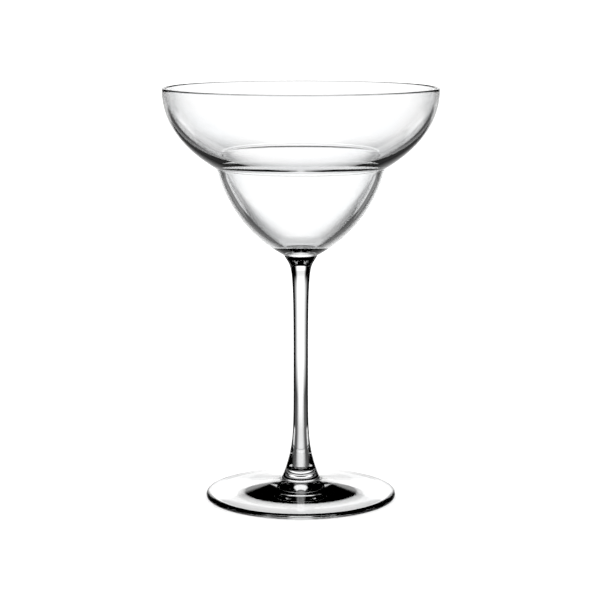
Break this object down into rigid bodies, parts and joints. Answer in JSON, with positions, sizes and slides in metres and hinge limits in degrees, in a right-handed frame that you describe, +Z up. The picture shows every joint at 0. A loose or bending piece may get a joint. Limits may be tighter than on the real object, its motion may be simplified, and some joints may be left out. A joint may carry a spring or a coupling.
{
  "type": "margarita glass",
  "caption": "Stemmed cocktail glass with a wide shallow dish over a narrower rounded cup, a slender waisted stem and a round foot, all in clear glass.",
  "frame": {"origin": "the centre of the foot, on the table plane that the glass stands on", "axes": "+Z up along the stem's axis; the glass is the same all round, so +X and +Y are free"},
  "size_m": [0.114, 0.114, 0.172],
  "materials": {
    "clear_crystal": "clear fire-polished soda-lime or crystal glass, with no tint to speak of"
  },
  "bodies": {
    "root": {"bowl": "clear_crystal", "stem": "clear_crystal", "foot": "clear_crystal"}
  },
  "joints": []
}
